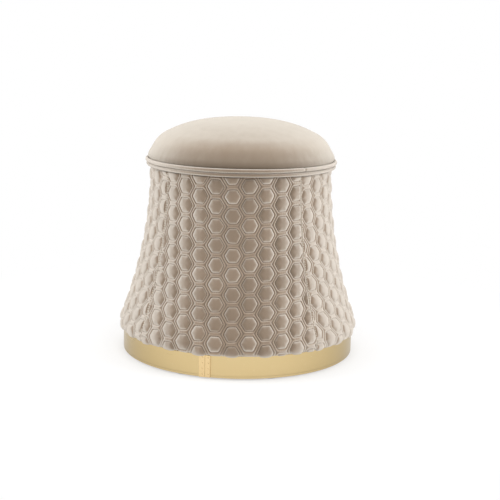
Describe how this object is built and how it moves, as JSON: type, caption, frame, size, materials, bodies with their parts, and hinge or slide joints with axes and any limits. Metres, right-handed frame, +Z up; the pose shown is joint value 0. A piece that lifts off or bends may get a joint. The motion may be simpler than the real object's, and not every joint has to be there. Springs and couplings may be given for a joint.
{
  "type": "pouf",
  "caption": "Round bell-shaped upholstered pouf: domed velvet seat, double welt, hexagon-quilted flared skirt and a brass-banded plinth; a low seat or footrest.",
  "frame": {"origin": "on the floor, under the centre of the plinth", "axes": "+Z up, the front panel and the joint plate of the band toward -Y, +X to the right of the front"},
  "size_m": [0.446, 0.446, 0.44],
  "materials": {
    "velvet": "short-pile taupe velvet",
    "cord": "twisted cotton filler cord",
    "wadding": "white polyester fibre",
    "foam": "cream polyurethane foam",
    "webbing": "black woven elastic",
    "nonwoven": "black non-woven cloth",
    "plywood": "raw birch plywood",
    "fibreboard": "raw fibreboard",
    "thin_board": "raw hardboard",
    "brass": "satin brass",
    "steel": "zinc plated",
    "nylon": "white nylon"
  },
  "bodies": {
    "root": {"base_board": "plywood", "brass_band": "brass", "dust_cover": "nonwoven", "dust_cover_staples": "steel", "floor_glides": "nylon", "glide_screws": "steel", "hem_roll": "wadding", "joint_plate": "brass", "joint_plate_pins": "brass", "lower_welt_cord": "cord", "lower_welt_cover": "velvet", "plinth_ring_lower": "fibreboard", "plinth_ring_upper": "fibreboard", "plinth_screws": "steel", "quilted_panel_back": "velvet", "quilted_panel_front": "velvet", "quilted_panel_left": "velvet", "quilted_panel_right": "velvet", "rib_1": "plywood", "rib_2": "plywood", "rib_3": "plywood", "rib_4": "plywood", "rib_5": "plywood", "rib_6": "plywood", "rib_7": "plywood", "rib_8": "plywood", "rib_screws_lower": "steel", "rib_screws_upper": "steel", "seat_cover": "velvet", "seat_foam_base": "foam", "seat_foam_crown": "foam", "seat_ring": "plywood", "seat_wadding": "wadding", "side_padding_back": "foam", "side_padding_front": "foam", "side_padding_left": "foam", "side_padding_right": "foam", "skin_stave_1": "thin_board", "skin_stave_2": "thin_board", "skin_stave_3": "thin_board", "skin_stave_4": "thin_board", "skin_stave_5": "thin_board", "skin_stave_6": "thin_board", "skin_stave_7": "thin_board", "skin_stave_8": "thin_board", "upper_welt_cord": "cord", "upper_welt_cover": "velvet", "waist_ring": "plywood", "webbing_lower": "webbing", "webbing_staples": "steel", "webbing_upper": "webbing"}
  },
  "joints": []
}
